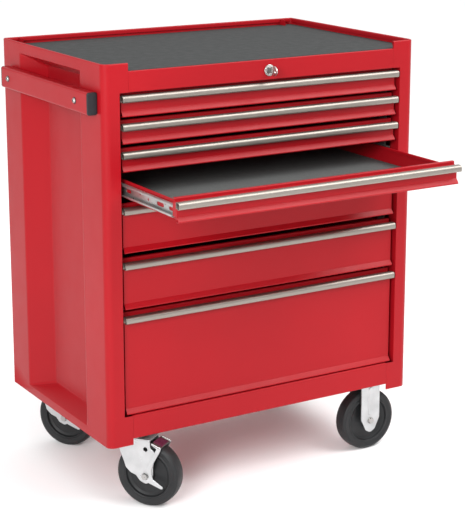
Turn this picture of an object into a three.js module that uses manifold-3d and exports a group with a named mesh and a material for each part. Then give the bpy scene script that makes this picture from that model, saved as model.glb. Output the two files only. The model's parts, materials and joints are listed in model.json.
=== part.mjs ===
// Rolling tool chest: seven drawers in a folded steel cabinet on two fixed and two swivel castors.
// Working frame, millimetres: X right from the left outer face, Y back from the front face,
// Z up from the feet of the side panels. The cabinet group is placed at the end so that the origin
// is the centre of the bottom of the whole model's box.
import * as THREE from 'three';
import { ConvexGeometry } from 'three/addons/geometries/ConvexGeometry.js';
import { mergeVertices } from 'three/addons/utils/BufferGeometryUtils.js';
import Module from 'manifold-3d';

const wasm = await Module();
wasm.setup();

// Driving dimensions
const W = 680;
const D = 440;
const H = 714;
const SHEET = 1.2;
const GAP = 0.4;
const CORNER_R = 14;
const POST = 33;
const EAR = 50;
const RAIL_TOP = 699.5;
const RAIL_BOTTOM = 661;
const SILL_TOP = 57;
const SILL_BOTTOM = 9;
const TRAY_Z = 696.4;
const BASE_Z = 18;
const PULL_X = 37.5;
const FRONT_X = 39.5;
const RETURN_Y = 23;
const BOX_X = 47;
const BOX_DEPTH = 400;
const FACE_Y = 9;
const SLIDE_FRONT = 26;
const OPEN_BY = 200;
const OPEN_DRAWER = 4;
const BAR_Z = 643;
const BAR_FRONT = 25;
const BAR_REAR = 402;
const BOLT_YS = [74, 372];
const LOCK_X = 344;
const LOCK_Z = 679;
const WHEEL_R = 63.5;
const AXLE_Z = -70;
const LEG_IN = 18.5;
const LEG_T = 3;
const TRAIL = 30;
const SWIVEL_TURN = -53.13;

// Drawers from the top: height of the pull's top edge, and of the front's bottom lip
const DRAWERS = [
  { top: 656, lip: 617 },
  { top: 605, lip: 568 },
  { top: 554, lip: 517 },
  { top: 503, lip: 466 },
  { top: 452, lip: 367 },
  { top: 350, lip: 261 },
  { top: 248, lip: 58.5 },
];

// ---- joins and cuts, with shapes kept as three.js geometry in between ----

function toSolid(geometry) {
  const plain = geometry.clone();
  plain.deleteAttribute('normal');
  plain.deleteAttribute('uv');
  const merged = mergeVertices(plain, 1e-4);
  const mesh = new wasm.Mesh({
    numProp: 3,
    vertProperties: new Float32Array(merged.attributes.position.array),
    triVerts: new Uint32Array(merged.index.array),
  });
  return new wasm.Manifold(mesh);
}

function toGeometry(solid) {
  const mesh = solid.getMesh();
  const geometry = new THREE.BufferGeometry();
  geometry.setAttribute('position', new THREE.BufferAttribute(new Float32Array(mesh.vertProperties), 3));
  geometry.setIndex(new THREE.BufferAttribute(new Uint32Array(mesh.triVerts), 1));
  geometry.computeVertexNormals();
  return geometry;
}

function join(...shapes) {
  return toGeometry(shapes.map(toSolid).reduce((sum, next) => sum.add(next)));
}

function cut(shape, ...tools) {
  return toGeometry(tools.map(toSolid).reduce((rest, tool) => rest.subtract(tool), toSolid(shape)));
}

function common(shape, other) {
  return toGeometry(toSolid(shape).intersect(toSolid(other)));
}

// ---- basic shapes ----

function block(x0, x1, y0, y1, z0, z1) {
  const geometry = new THREE.BoxGeometry(x1 - x0, y1 - y0, z1 - z0);
  return geometry.translate((x0 + x1) / 2, (y0 + y1) / 2, (z0 + z1) / 2);
}

// Prism on an outline: (x, y) along z, (y, z) along x, or (x, z) along y
function prism(outline, axis, from, to) {
  const points = outline.map(([a, b]) => (axis === 'y' ? new THREE.Vector2(b, a) : new THREE.Vector2(a, b)));
  const extent = { depth: to - from, bevelEnabled: false };
  const geometry = new THREE.ExtrudeGeometry(new THREE.Shape(points), extent);
  const place = new THREE.Matrix4();
  if (axis === 'x') {
    place.set(0, 0, 1, from, 1, 0, 0, 0, 0, 1, 0, 0, 0, 0, 0, 1);
  } else if (axis === 'y') {
    place.set(0, 1, 0, 0, 0, 0, 1, from, 1, 0, 0, 0, 0, 0, 0, 1);
  } else {
    place.set(1, 0, 0, 0, 0, 1, 0, 0, 0, 0, 1, from, 0, 0, 0, 1);
  }
  return geometry.applyMatrix4(place);
}

// Turned solid about an axis through (0, 0, 0); the profile is (radius, distance along the axis)
function turned(profile, axis, segments) {
  const points = profile.map(([radius, along]) => new THREE.Vector2(radius, along));
  const geometry = new THREE.LatheGeometry(points, segments);
  if (axis === 'x') {
    geometry.rotateZ(-Math.PI / 2);
  } else if (axis === 'z') {
    geometry.rotateX(Math.PI / 2);
  }
  return geometry;
}

function rod(axis, radius, from, to, segments) {
  return turned([[0, from], [radius, from], [radius, to], [0, to]], axis, segments);
}

function arc(cx, cy, radius, startDeg, endDeg, steps) {
  const points = [];
  for (let i = 0; i <= steps; i += 1) {
    const angle = THREE.MathUtils.degToRad(startDeg + ((endDeg - startDeg) * i) / steps);
    points.push([cx + radius * Math.cos(angle), cy + radius * Math.sin(angle)]);
  }
  return points;
}

// The same piece for the other end of the cabinet, with its faces turned to point out again
function mirrored(shape) {
  const geometry = shape.clone().scale(-1, 1, 1).translate(W, 0, 0);
  const index = geometry.index.array;
  for (let i = 0; i < index.length; i += 3) {
    [index[i], index[i + 1]] = [index[i + 1], index[i]];
  }
  geometry.computeVertexNormals();
  return geometry;
}

// ---- named nodes ----

const PAINTS = {
  red_paint: { color: 0xc8141e, roughness: 0.35, metalness: 0.1 },
  mat: { color: 0x33383a, roughness: 0.9, metalness: 0 },
  aluminium: { color: 0xc9c2b8, roughness: 0.35, metalness: 0.9 },
  zinc: { color: 0xc9cbcc, roughness: 0.4, metalness: 0.8 },
  wheel: { color: 0x26282a, roughness: 0.6, metalness: 0 },
  cap: { color: 0x1c1e22, roughness: 0.5, metalness: 0 },
  chrome: { color: 0xd8d8d8, roughness: 0.15, metalness: 1 },
};

const chest = new THREE.Group();
const cabinet = new THREE.Group();
chest.add(cabinet);

function group(parent, x, y, z) {
  const made = new THREE.Group();
  made.position.set(x, y, z);
  parent.add(made);
  return made;
}

function add(parent, name, shape, slot) {
  const mesh = new THREE.Mesh(shape, new THREE.MeshStandardMaterial(PAINTS[slot]));
  mesh.name = name;
  mesh.userData.slot = slot;
  parent.add(mesh);
  return mesh;
}

// ---- side panels ----

function postOutline(offset) {
  const corner = arc(CORNER_R, CORNER_R, CORNER_R - offset, 270, 180, 5);
  return [[POST, offset], ...corner, [offset, D - offset], [POST, D - offset]];
}

// The pressed field of a side: a shallow pan with sloping walls
function recess(grow) {
  const slope = 5 / 32;
  const mouth = { y0: 93 - grow, y1: 358 + grow, z0: 17 - grow, z1: 693 + grow };
  const bed = { y0: 150 - grow, y1: 298 + grow, z0: 35 - grow, z1: 675 + grow };
  const points = [];
  for (const yEnd of ['y0', 'y1']) {
    for (const zEnd of ['z0', 'z1']) {
      const outY = mouth[yEnd] + (mouth[yEnd] - bed[yEnd]) * slope;
      const outZ = mouth[zEnd] + (mouth[zEnd] - bed[zEnd]) * slope;
      points.push(new THREE.Vector3(-5, outY, outZ));
      points.push(new THREE.Vector3(32 + (grow > 0 ? 1 : 0), bed[yEnd], bed[zEnd]));
    }
  }
  return new ConvexGeometry(points);
}

function sidePanel() {
  const outer = prism(postOutline(0), 'z', 0, H);
  const room = common(prism(postOutline(SHEET), 'z', 24, TRAY_Z - 1), block(SHEET, POST - SHEET, 0, D, 0, H));
  const passage = block(SHEET, POST + 5, 26, D - 26, 24, TRAY_Z - 1);
  const below = prism(postOutline(SHEET), 'z', -1, 24);
  const belowEdge = block(POST - 1, POST + 5, SHEET, D - SHEET, -1, 24);
  const above = prism(postOutline(SHEET), 'z', TRAY_Z - 1, H - SHEET);
  const aboveEdge = block(POST - 1, POST + 5, SHEET, D - SHEET, TRAY_Z - 1, H - SHEET);
  const mouth = common(prism(postOutline(SHEET), 'z', TRAY_Z - 1, H + 1), block(5, POST + 5, 0, D, 0, H + 5));
  const shell = cut(outer, room, passage, below, belowEdge, above, aboveEdge, mouth);
  const skin = common(outer, recess(SHEET));
  const footEar = block(POST - 1, EAR, 0, SHEET, 0, SILL_TOP - 0.3);
  const topEar = block(POST - 1, EAR, 0, SHEET, RAIL_BOTTOM + 0.3, H - 2);
  return cut(join(shell, skin, footEar, topEar), recess(0));
}

function boltHoles(from, to) {
  return BOLT_YS.map((y) => rod('x', 3.4, from, to, 12).translate(0, y, BAR_Z));
}

add(cabinet, 'side_left', cut(sidePanel(), ...boltHoles(-5, 5)), 'red_paint');
add(cabinet, 'side_right', mirrored(sidePanel()), 'red_paint');

// ---- back, top tray, mat, base ----

const backSheet = block(POST + GAP, W - POST - GAP, D - SHEET, D, 10, H);
const backHem = block(POST + GAP, W - POST - GAP, D - 6, D, H - SHEET, H);
add(cabinet, 'back_panel', join(backSheet, backHem), 'red_paint');

function trayOutline(inset) {
  const radius = CORNER_R - SHEET - 0.2 - (inset - SHEET);
  const left = arc(CORNER_R, CORNER_R, radius, 180, 270, 5);
  const right = arc(W - CORNER_R, CORNER_R, radius, 270, 360, 5);
  return [...left, ...right, [W - inset, D - inset], [inset, D - inset]];
}

const trayFloor = prism(trayOutline(SHEET + GAP), 'z', TRAY_Z, TRAY_Z + SHEET);
const trayWall = cut(
  prism(trayOutline(SHEET + GAP), 'z', TRAY_Z, H - SHEET - GAP),
  prism(trayOutline(SHEET + GAP + 1), 'z', TRAY_Z - 1, H),
  block(EAR + 0.3, W - EAR - 0.3, -1, 20, RAIL_TOP, H + 1),
);
const rail = join(
  block(EAR + 0.3, W - EAR - 0.3, 0, SHEET, RAIL_BOTTOM, RAIL_TOP),
  block(EAR + 0.3, W - EAR - 0.3, 0, 16, RAIL_BOTTOM, RAIL_BOTTOM + SHEET),
  block(EAR + 0.3, W - EAR - 0.3, 0.6, 4, TRAY_Z, TRAY_Z + SHEET),
);
const lockHole = rod('y', 9.3, -5, 20, 24).translate(LOCK_X, 0, LOCK_Z);
add(cabinet, 'top_tray', cut(join(trayFloor, trayWall, rail), lockHole), 'red_paint');

const MAT_R = 10.5;
const matLow = TRAY_Z + SHEET + 0.3;
const matOutline = [
  ...arc(CORNER_R, CORNER_R, MAT_R, 180, 270, 4),
  ...arc(W - CORNER_R, CORNER_R, MAT_R, 270, 360, 4),
  ...arc(W - CORNER_R, D - CORNER_R, MAT_R, 0, 90, 4),
  ...arc(CORNER_R, D - CORNER_R, MAT_R, 90, 180, 4),
];
add(cabinet, 'top_mat', prism(matOutline, 'z', matLow, matLow + 2.5), 'mat');

const base = join(
  block(8, W - 8, 3.2, D - 1.8, BASE_Z, BASE_Z + SHEET),
  block(EAR + 0.3, W - EAR - 0.3, 0.6, 4, BASE_Z, BASE_Z + SHEET),
  block(EAR + 0.3, W - EAR - 0.3, 0, SHEET, SILL_BOTTOM, SILL_TOP),
  block(EAR + 0.3, W - EAR - 0.3, 0, 16, SILL_TOP - SHEET, SILL_TOP),
  block(EAR + 0.3, W - EAR - 0.3, 0, 12, SILL_BOTTOM, SILL_BOTTOM + SHEET),
);
add(cabinet, 'base_pan', base, 'red_paint');

// ---- drawers, pulls and slides ----

function slideHeight(drawer) {
  return drawer.lip + Math.min(18, (drawer.top - drawer.lip) / 2);
}

function channel(zc) {
  const rear = SLIDE_FRONT + 388;
  return join(
    block(34.3, 35.3, SLIDE_FRONT, rear, zc - 17, zc + 17),
    block(34.3, 43.5, SLIDE_FRONT, rear, zc + 16, zc + 17),
    block(34.3, 43.5, SLIDE_FRONT, rear, zc - 17, zc - 16),
  );
}

function rack() {
  const uprights = [40, 368].map((y) => block(33.4, 34.8, y, y + 22, 30, 672));
  return join(...uprights, ...DRAWERS.map((drawer) => channel(slideHeight(drawer))));
}

add(cabinet, 'slide_rack_left', rack(), 'zinc');
add(cabinet, 'slide_rack_right', mirrored(rack()), 'zinc');

function drawerBox({ top, lip }, isTop) {
  const crest = top + (isTop ? 3.5 : 5);
  const front = [
    [FACE_Y, crest],
    [FACE_Y, lip + 7.5],
    [1.2, lip + 0.9],
    [1.2, lip],
    [11.5, lip],
    [11.5, lip + 1.2],
    [3.4, lip + 1.2],
    [FACE_Y + SHEET, lip + 7],
    [FACE_Y + SHEET, crest],
  ];
  const sheet = prism(front, 'x', FRONT_X, W - FRONT_X);
  const foldLeft = block(FRONT_X, FRONT_X + SHEET, FACE_Y + 0.2, RETURN_Y, lip + 9, crest);
  const outside = block(BOX_X, W - BOX_X, FACE_Y + SHEET - 0.2, BOX_DEPTH, lip + 1, top - 2);
  const inside = block(BOX_X + 1, W - BOX_X - 1, FACE_Y + SHEET + 0.8, BOX_DEPTH - 1, lip + 2, top + 9);
  return join(sheet, foldLeft, mirrored(foldLeft), cut(outside, inside));
}

function pull({ top }) {
  const outline = [
    [-1.4, top],
    [-3, top - 1.2],
    [-3.8, top - 3.6],
    [-3.8, top - 9.6],
    [-3.2, top - 12],
    [-2, top - 13],
    [-2, top - 1.8],
    [7.2, top - 1.8],
    [7.2, top - 12.4],
    [FACE_Y - 0.3, top - 12.4],
    [FACE_Y - 0.3, top],
  ];
  return prism(outline, 'x', PULL_X, W - PULL_X);
}

function slideMember(zc) {
  const rear = SLIDE_FRONT + 366;
  return join(
    block(45.8, 46.7, SLIDE_FRONT, rear, zc - 12, zc + 12),
    block(38.6, 46.7, SLIDE_FRONT, rear, zc + 11, zc + 12),
    block(38.6, 46.7, SLIDE_FRONT, rear, zc - 12, zc - 11),
  );
}

DRAWERS.forEach((drawer, index) => {
  const number = index + 1;
  const drawerGroup = group(cabinet, 0, number === OPEN_DRAWER ? -OPEN_BY : 0, 0);
  const member = slideMember(slideHeight(drawer));
  add(drawerGroup, `drawer_${number}_box`, drawerBox(drawer, index === 0), 'red_paint');
  add(drawerGroup, `drawer_${number}_pull`, pull(drawer), 'aluminium');
  add(drawerGroup, `drawer_${number}_slide_left`, member, 'zinc');
  add(drawerGroup, `drawer_${number}_slide_right`, mirrored(member), 'zinc');
});

// ---- side handle ----

const tube = cut(
  block(-20.4, -0.4, BAR_FRONT, BAR_REAR, BAR_Z - 20.5, BAR_Z + 20.5),
  block(-18.4, -2.4, BAR_FRONT - 5, BAR_REAR + 8, BAR_Z - 18.5, BAR_Z + 18.5),
  ...boltHoles(-30, 5),
);
add(cabinet, 'handle_bar', tube, 'red_paint');

function endCap() {
  const lid = block(-20.4, -0.4, -3.3, -0.3, -20.5, 20.5);
  const plug = block(-18, -2.8, -1, 12, -18.1, 18.1);
  return join(lid, plug);
}

add(group(cabinet, 0, BAR_FRONT, BAR_Z), 'handle_cap_front', endCap(), 'cap');
const rearCap = add(group(cabinet, 0, BAR_REAR, BAR_Z), 'handle_cap_rear', endCap(), 'cap');
rearCap.rotation.x = Math.PI;

function handleBolt() {
  const shank = rod('x', 3, -21, 6.6, 12);
  const head = turned([[0, -23.8], [3.5, -23.8], [5.6, -22.4], [6, -20.8], [0, -20.8]], 'x', 16);
  const nut = rod('x', 5.8, 1.6, 6, 6);
  return join(shank, head, nut);
}

['front', 'rear'].forEach((place, index) => {
  add(group(cabinet, 0, BOLT_YS[index], BAR_Z), `handle_bolt_${place}`, handleBolt(), 'chrome');
});

// ---- lock ----

const lock = group(cabinet, LOCK_X, 0, LOCK_Z);
const housingProfile = [[6.2, -2.4], [10.4, -2.4], [11.3, -1.6], [11.3, -0.3], [9, -0.3], [9, 20], [6.2, 20]];
add(lock, 'lock_housing', turned([...housingProfile, housingProfile[0]], 'y', 24), 'chrome');

const plugBody = rod('y', 5.9, -3, 22.6, 24);
const cam = block(-4, 14, 20.4, 22.6, -4, 4);
add(lock, 'lock_cylinder', join(plugBody, cam), 'chrome');

const keyShank = block(-1, 1, -10, -3.3, -3.4, 3.4);
const keyBow = cut(
  rod('x', 10, -1, 1, 20).translate(0, -18, 0),
  rod('x', 3, -2, 2, 12).translate(0, -22.5, 0),
);
add(lock, 'lock_key', join(keyShank, keyBow), 'chrome');

// ---- castors, each built with its wheel centre at (0, 0, 0) and its axle along Y ----

const wheelProfile = [
  [5.7, -17],
  [13, -17],
  [15, -9],
  [42, -8],
  [47, -15.4],
  [57, -16],
  [WHEEL_R, -10],
  [WHEEL_R, 10],
  [57, 16],
  [47, 15.4],
  [42, 8],
  [15, 9],
  [13, 17],
  [5.7, 17],
];

function wheel() {
  return turned([...wheelProfile, wheelProfile[0]], 'y', 28);
}

function axle(outer) {
  return join(
    rod('y', 5.1, -outer - 1, outer + 6, 14),
    rod('y', 8, -outer - 4.6, -outer - 0.4, 6),
    rod('y', 8, outer + 0.4, outer + 5, 6),
  );
}

const LEG_OUT = LEG_IN + LEG_T;
const TOP = 17.6 - AXLE_Z;

function bothSides(outline, from, to) {
  return join(prism(outline, 'y', from, to), prism(outline, 'y', -to, -from));
}

function axleHole() {
  return rod('y', 5.4, -40, 40, 14);
}

function fixedBracket() {
  const foot = arc(0, -16, 10, 215, 325, 5);
  const rearEdge = [[-22.5, TOP - 2], [-22.5, 2], [-10, -19]];
  const frontEdge = [[10, -19], [22.5, 2], [22.5, TOP - 2]];
  const legOutline = [...rearEdge, ...foot, ...frontEdge];
  const plate = block(-48, 48, -36, 36, TOP - 3.2, TOP);
  return cut(join(plate, bothSides(legOutline, LEG_IN, LEG_OUT)), axleHole());
}

function swivelPlate() {
  const plate = block(-48, 48, -36, 36, TOP - 3.2, TOP);
  const raceway = rod('z', 27, TOP - 10.8, TOP - 3, 28);
  return join(plate, raceway);
}

// Wheel side is +X here: the swivel axis stands at X = -TRAIL
function fork() {
  const legOutline = [
    [-47, 72.5],
    [-54, 46],
    [-45, 24],
    [-41, 12],
    [-31, 3],
    [-20, -1],
    ...arc(0, 0, 15, 215, 335, 6),
    [15, 6],
    [15, 19],
    [20, 42],
    [18, 51],
    [9.5, 57],
    [9.5, 72.5],
  ];
  const crown = block(-47, 9.5, -LEG_OUT, LEG_OUT, 69.5, 72.5);
  const disc = rod('z', 25, 72, 76.4, 28).translate(-TRAIL, 0, 0);
  const hole = rod('y', 4.3, -40, 40, 12).translate(0, 0, 53);
  return cut(join(bothSides(legOutline, LEG_IN, LEG_OUT), crown, disc), axleHole(), hole);
}

function brake() {
  const armOutline = [
    [-9, 1],
    [-7, -7],
    [4, -11],
    [32, -21],
    [36, -20],
    [36, -17],
    [16, -4],
    [13, 6],
    [13, 16],
    [18, 30],
    [35, 54.5],
    [38.5, 60],
    [13, 69],
    [12, 64.6],
    [24, 58],
    [-1, 10],
  ];
  const pedal = prism([[12, 64.6], [36, 56.2], [38.5, 60], [13, 69]], 'y', -LEG_OUT - 2.4, LEG_OUT + 2.4);
  return cut(join(bothSides(armOutline, LEG_OUT + 0.4, LEG_OUT + 2.4), pedal), axleHole());
}

const FIXED = [['front_right', 609, 44], ['back_right', 609, D - 44]];
FIXED.forEach(([place, x, y]) => {
  const castor = group(cabinet, x, y, AXLE_Z);
  add(castor, `castor_${place}_bracket`, fixedBracket(), 'zinc');
  add(castor, `castor_${place}_wheel`, wheel(), 'wheel');
  add(castor, `castor_${place}_axle`, axle(LEG_OUT), 'chrome');
});

const SWIVEL = [['front_left', 76, 42], ['back_left', 76, D - 42]];
SWIVEL.forEach(([place, x, y]) => {
  const castor = group(cabinet, x, y, AXLE_Z);
  add(castor, `castor_${place}_plate`, swivelPlate(), 'zinc');
  const swivel = group(castor, 0, 0, 0);
  swivel.rotation.z = THREE.MathUtils.degToRad(SWIVEL_TURN);
  const trailing = group(swivel, TRAIL, 0, 0);
  add(trailing, `castor_${place}_fork`, fork(), 'zinc');
  add(trailing, `castor_${place}_wheel`, wheel(), 'wheel');
  add(trailing, `castor_${place}_axle`, axle(LEG_OUT + 2.4), 'chrome');
  add(trailing, `castor_${place}_brake`, brake(), 'zinc');
});

// ---- origin to the centre of the bottom ----

chest.updateMatrixWorld(true);
const bounds = new THREE.Box3().setFromObject(chest, true);
const centre = bounds.getCenter(new THREE.Vector3());
cabinet.position.set(-centre.x, -centre.y, -bounds.min.z);

export default chest;
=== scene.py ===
import json
import math

import bmesh
import bpy
from mathutils import Matrix, Vector


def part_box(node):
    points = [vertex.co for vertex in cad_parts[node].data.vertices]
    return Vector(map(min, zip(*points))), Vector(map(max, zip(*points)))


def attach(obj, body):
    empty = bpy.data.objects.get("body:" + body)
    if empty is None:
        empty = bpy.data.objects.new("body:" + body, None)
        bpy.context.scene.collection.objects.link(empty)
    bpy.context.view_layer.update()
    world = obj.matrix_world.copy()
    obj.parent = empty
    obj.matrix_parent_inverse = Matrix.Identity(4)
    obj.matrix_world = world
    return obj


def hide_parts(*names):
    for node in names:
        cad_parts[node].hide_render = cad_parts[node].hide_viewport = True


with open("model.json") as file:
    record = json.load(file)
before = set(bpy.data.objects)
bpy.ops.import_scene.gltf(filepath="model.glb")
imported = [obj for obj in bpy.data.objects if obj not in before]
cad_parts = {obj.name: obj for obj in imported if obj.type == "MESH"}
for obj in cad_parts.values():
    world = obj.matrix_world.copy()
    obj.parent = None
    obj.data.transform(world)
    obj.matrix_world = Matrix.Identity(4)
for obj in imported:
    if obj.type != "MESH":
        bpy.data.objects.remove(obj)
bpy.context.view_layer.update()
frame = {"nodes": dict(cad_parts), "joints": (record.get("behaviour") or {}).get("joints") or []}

# ---- the cabinet's own frame: millimetres from its left outer face, front plane and feet ----

MM = 0.001
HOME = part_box("side_left")[0]
WIDTH = (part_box("side_right")[1].x - HOME.x) / MM
# a hair less than the CAD's, so that the rear bend stays inside its box
DEPTH = (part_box("side_left")[1].y - HOME.y) / MM - 0.01
HEIGHT = (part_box("side_left")[1].z - HOME.z) / MM
SHEET = 1.2
HALF_SHEET = SHEET / 2
POST = 33.0
EAR = 50.0


def local(point):
    """A point of the row frame, in metres, as cabinet millimetres."""
    return (Vector(point) - HOME) / MM


def span(node):
    """A CAD node's lowest and highest corners in cabinet millimetres."""
    low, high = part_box(node)
    return local(low), local(high)


# ---- forms: points in cabinet millimetres, and the faces on them ----


class Form:
    def __init__(self, points=(), faces=()):
        self.points = [Vector(p) for p in points]
        self.faces = [tuple(f) for f in faces]

    def __add__(self, other):
        shift = len(self.points)
        moved = [tuple(i + shift for i in face) for face in other.faces]
        return Form(self.points + other.points, self.faces + moved)

    def placed(self, matrix):
        return Form([matrix @ p for p in self.points], self.faces)

    def shifted(self, x, y, z):
        return self.placed(Matrix.Translation((x, y, z)))

    def mirrored(self):
        """The same form for the right-hand end of the cabinet."""
        points = [Vector((WIDTH - p.x, p.y, p.z)) for p in self.points]
        return Form(points, [tuple(reversed(face)) for face in self.faces])


def together(forms):
    whole = Form()
    for form in forms:
        whole = whole + form
    return whole


def loft(rings, looped=True, caps=True, closed=False):
    """Quads between rings of equal length.

    looped joins each ring's own ends, and closed joins the last ring to the first.
    """
    count = len(rings[0])
    points = [p for ring in rings for p in ring]
    faces = []
    rows = len(rings) if closed else len(rings) - 1
    steps = count if looped else count - 1
    for row in range(rows):
        here = row * count
        there = ((row + 1) % len(rings)) * count
        for i in range(steps):
            j = (i + 1) % count
            faces.append((here + i, here + j, there + j, there + i))
    if caps and looped and not closed:
        last = (len(rings) - 1) * count
        faces.append(tuple(reversed(range(count))))
        faces.append(tuple(range(last, last + count)))
    return Form(points, faces)


def arc(centre, radius, start, end, steps):
    """Points on a circle, angles in degrees."""
    found = []
    for i in range(steps + 1):
        angle = math.radians(start + (end - start) * i / steps)
        found.append(Vector((centre[0] + radius * math.cos(angle), centre[1] + radius * math.sin(angle))))
    return found


def filleted(path, radius, steps=4, closed=False):
    """A flat path with rounded corners, all alike or each by its own radius, where there is room."""
    path = [Vector(p) for p in path]
    radii = radius if isinstance(radius, list) else [radius] * len(path)
    found = []
    for i, corner in enumerate(path):
        if not closed and i in (0, len(path) - 1):
            found.append(corner)
            continue
        before = path[i - 1] - corner
        after = path[(i + 1) % len(path)] - corner
        half = before.angle(after) / 2
        if half > math.radians(89):
            found.append(corner)
            continue
        reach = min(radii[i] / math.tan(half), 0.49 * before.length, 0.49 * after.length)
        middle = (before.normalized() + after.normalized()).normalized()
        centre = corner + middle * reach / math.cos(half)
        start = corner + before.normalized() * reach - centre
        end = corner + after.normalized() * reach - centre
        turn = math.atan2(start.x * end.y - start.y * end.x, start.dot(end))
        for k in range(steps + 1):
            found.append(centre + Matrix.Rotation(turn * k / steps, 2) @ start)
    return found


def ribbon(path, thickness):
    """The closed outline of a sheet of that thickness along an open path."""
    left, right = [], []
    for i, point in enumerate(path):
        ahead = (path[min(i + 1, len(path) - 1)] - point).normalized()
        behind = (point - path[max(i - 1, 0)]).normalized()
        if i == 0:
            behind = ahead
        if i == len(path) - 1:
            ahead = behind
        along = (ahead + behind).normalized()
        widen = 1 / max(0.5, along.dot(ahead))
        side = Vector((-along.y, along.x)) * (thickness / 2 * widen)
        left.append(point + side)
        right.append(point - side)
    return left + right[::-1]


def rounded_box(low, high, radius, steps=5):
    """A rounded rectangle's outline."""
    corners = [(low[0], low[1]), (high[0], low[1]), (high[0], high[1]), (low[0], high[1])]
    return filleted(corners, radius, steps, closed=True)


def lift(flat, axis, at):
    """A flat outline in space: (y, z) across x, (x, z) across y or (x, y) across z."""
    if axis == "x":
        return [Vector((at, p[0], p[1])) for p in flat]
    if axis == "y":
        return [Vector((p[0], at, p[1])) for p in flat]
    return [Vector((p[0], p[1], at)) for p in flat]


def extruded(outline, axis, start, end):
    return loft([lift(outline, axis, start), lift(outline, axis, end)])


def pierced(outer, inner, axis, start, end):
    """A plate between two outlines of equal length, with the inner one open."""
    corners = ((outer, start), (outer, end), (inner, end), (inner, start))
    return loft([lift(outline, axis, place) for outline, place in corners], closed=True)


def turned(profile, axis, steps):
    """A profile of (radius, distance along the axis) turned about an axis through the local origin."""
    rings = []
    for i in range(steps):
        angle = 2 * math.pi * i / steps
        c, s = math.cos(angle), math.sin(angle)
        ring = []
        for radius, along in profile:
            across = {"x": (along, radius * c, radius * s), "y": (radius * c, along, radius * s)}
            ring.append(Vector(across.get(axis, (radius * c, radius * s, along))))
        rings.append(ring)
    return loft(rings, caps=False, closed=True)


def hexagon(across, axis, start, end):
    """A bolt head or nut, across its flats, with chamfered corners."""
    radius = across / math.sqrt(3)
    chamfer = min(0.12 * across, 0.35 * abs(end - start)) * (1 if end > start else -1)
    outline = [arc((0, 0), radius * share, 0, 300, 5) for share in (0.9, 1.0, 1.0, 0.9)]
    places = (start, start + chamfer, end - chamfer, end)
    return loft([lift(ring, axis, place) for ring, place in zip(outline, places)])


# ---- pieces ----

MERGE_WITHIN = 3e-6
FLAT_ANGLE = math.radians(32)
BEVEL_ANGLE = math.radians(35)


def filled(form):
    """A form's points and faces as an editable mesh, in the row frame's metres."""
    work = bmesh.new()
    vertices = [work.verts.new(HOME + p * MM) for p in form.points]
    for face in form.faces:
        work.faces.new([vertices[i] for i in face])
    return work


def face_outwards(work):
    """Turns an open sheet's faces away from the middle of the cabinet."""
    middle = HOME + Vector((WIDTH, DEPTH, HEIGHT)) * MM / 2
    facing = sum(f.normal.dot(f.calc_center_median() - middle) * f.calc_area() for f in work.faces)
    if facing < 0:
        bmesh.ops.reverse_faces(work, faces=work.faces)


def linked(name, work):
    """The editable mesh as an object in the scene."""
    mesh = bpy.data.meshes.new(name)
    work.to_mesh(mesh)
    work.free()
    made = bpy.data.objects.new(name, mesh)
    bpy.context.scene.collection.objects.link(made)
    return made


def piece(name, body, surface, form, stands_for=(), bevel=0.0, thicken=0.0):
    """One piece of the visual model, riding on its CAD body."""
    work = filled(form)
    bmesh.ops.remove_doubles(work, verts=work.verts, dist=MERGE_WITHIN)
    bmesh.ops.recalc_face_normals(work, faces=work.faces)
    if thicken:
        face_outwards(work)
    made = linked(name, work)
    made.data.shade_smooth()
    made.data.set_sharp_from_angle(angle=FLAT_ANGLE)
    made.data.materials.append(surface)
    if thicken:
        sheet = made.modifiers.new("sheet", "SOLIDIFY")
        sheet.thickness = thicken * MM
        sheet.offset = -1
        sheet.use_even_offset = True
    if bevel:
        rounding = made.modifiers.new("rounding", "BEVEL")
        rounding.width = bevel * MM
        rounding.segments = 3
        rounding.limit_method = "ANGLE"
        rounding.angle_limit = BEVEL_ANGLE
        rounding.harden_normals = True
    even = made.modifiers.new("even", "WEIGHTED_NORMAL")
    even.keep_sharp = True
    even.weight = 85
    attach(made, body)
    if stands_for:
        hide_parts(*stands_for)
    return made


# ---- materials ----


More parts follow.
